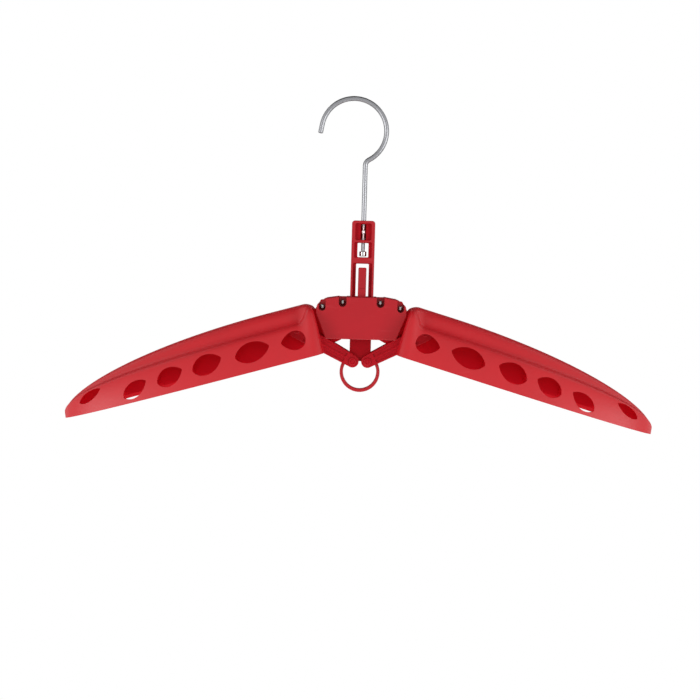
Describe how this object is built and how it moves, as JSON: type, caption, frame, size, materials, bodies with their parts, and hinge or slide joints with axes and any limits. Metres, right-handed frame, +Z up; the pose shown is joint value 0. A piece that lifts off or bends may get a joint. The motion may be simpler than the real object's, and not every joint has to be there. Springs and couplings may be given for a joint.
{
  "type": "folding wetsuit hanger",
  "caption": "Folding plastic hanger with a swivelling steel hook and two wide hollow wings that a pull ring folds down through links.",
  "frame": {"origin": "the point inside the top of the hook's loop that rests on the rail", "axes": "+X along the span towards the right wing, +Y to the back through the wings' width, +Z up"},
  "size_m": [0.528, 0.0908, 0.2971],
  "materials": {
    "red_plastic": "satin moulded red plastic",
    "steel": "satin stainless steel"
  },
  "bodies": {
    "hook": {"hook": "steel", "hook_collar": "steel"},
    "stem": {"stem": "red_plastic"},
    "housing": {"housing_front": "red_plastic", "housing_back": "red_plastic", "screw_1": "steel", "screw_2": "steel", "screw_3": "steel", "screw_4": "steel", "nut_1": "steel", "nut_2": "steel", "nut_3": "steel", "nut_4": "steel"},
    "latch": {"latch_tongue": "red_plastic"},
    "wing_left": {"wing_left": "red_plastic"},
    "wing_right": {"wing_right": "red_plastic"},
    "link_left": {"link_left": "red_plastic", "stem_pin_left": "red_plastic", "wing_pin_left": "red_plastic"},
    "link_right": {"link_right": "red_plastic", "stem_pin_right": "red_plastic", "wing_pin_right": "red_plastic"}
  },
  "joints": [
    {"name": "hook_swivel", "type": "hinge", "parent": "hook", "child": "stem", "pos_m": [0.011, 0, -0.11], "axis": [0, 0, 1], "continuous": true},
    {"name": "housing_slide", "type": "slide", "parent": "stem", "child": "housing", "axis": [0, 0, 1], "range_m": [0, 0.034]},
    {"name": "wing_right_hinge", "type": "hinge", "parent": "housing", "child": "wing_right", "pos_m": [0.046, 0, -0.1872], "axis": [0, 1, 0], "range_deg": [0, 44.2]},
    {"name": "wing_left_hinge", "type": "hinge", "parent": "housing", "child": "wing_left", "pos_m": [-0.024, 0, -0.1872], "axis": [0, -1, 0], "range_deg": [0, 44.2]},
    {"name": "link_right_hinge", "type": "hinge", "parent": "stem", "child": "link_right", "pos_m": [0.0177, 0, -0.2356], "axis": [0, -1, 0], "range_deg": [0, 31.2]},
    {"name": "link_left_hinge", "type": "hinge", "parent": "stem", "child": "link_left", "pos_m": [0.0043, 0, -0.2356], "axis": [0, 1, 0], "range_deg": [0, 31.2]},
    {"name": "latch_hinge", "type": "hinge", "parent": "housing", "child": "latch", "pos_m": [0.011, -0.0086, -0.1843], "axis": [1, 0, 0], "range_deg": [0, 8], "stiffness_Nm_per_rad": 0.3}
  ],
  "couplings": [
    {"joint": "wing_right_hinge", "follows": "housing_slide", "rad_per_m": 22.58},
    {"joint": "wing_left_hinge", "follows": "housing_slide", "rad_per_m": 22.58},
    {"joint": "link_right_hinge", "follows": "housing_slide", "rad_per_m": 15.91},
    {"joint": "link_left_hinge", "follows": "housing_slide", "rad_per_m": 15.91}
  ]
}
